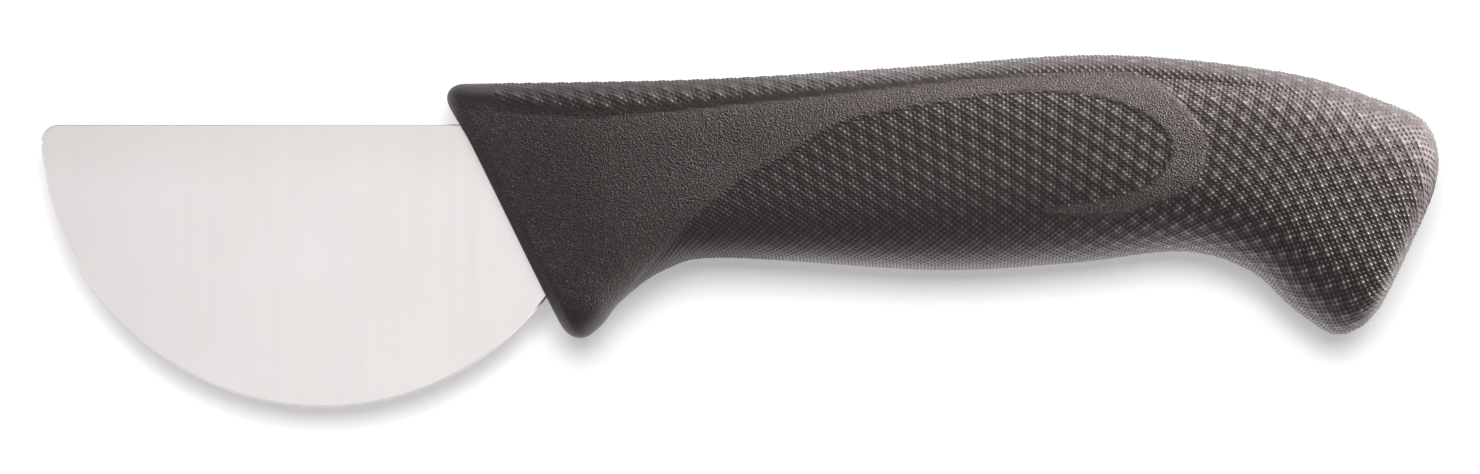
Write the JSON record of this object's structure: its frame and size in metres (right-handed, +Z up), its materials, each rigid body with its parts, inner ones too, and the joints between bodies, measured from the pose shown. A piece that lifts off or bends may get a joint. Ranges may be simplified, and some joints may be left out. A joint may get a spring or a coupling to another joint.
{
  "type": "farinata knife",
  "caption": "Half-round flat blade on a soft moulded handle with a finger guard, palm swell and hooked butt, for cutting and serving farinata from the pan.",
  "frame": {"origin": "middle of the knife's box in plan, on the surface that the knife lies on", "axes": "the knife lies on its side: +X from the blade's tip to the butt of the handle, +Y from the cutting edge to the spine, +Z up, square to the blade"},
  "size_m": [0.1974, 0.0498, 0.022],
  "materials": {
    "blade_steel": "satin",
    "core_plastic": "matte",
    "soft_grip": "matte"
  },
  "bodies": {
    "root": {"blade": "blade_steel", "handle_core": "core_plastic", "grip": "soft_grip"}
  },
  "joints": []
}
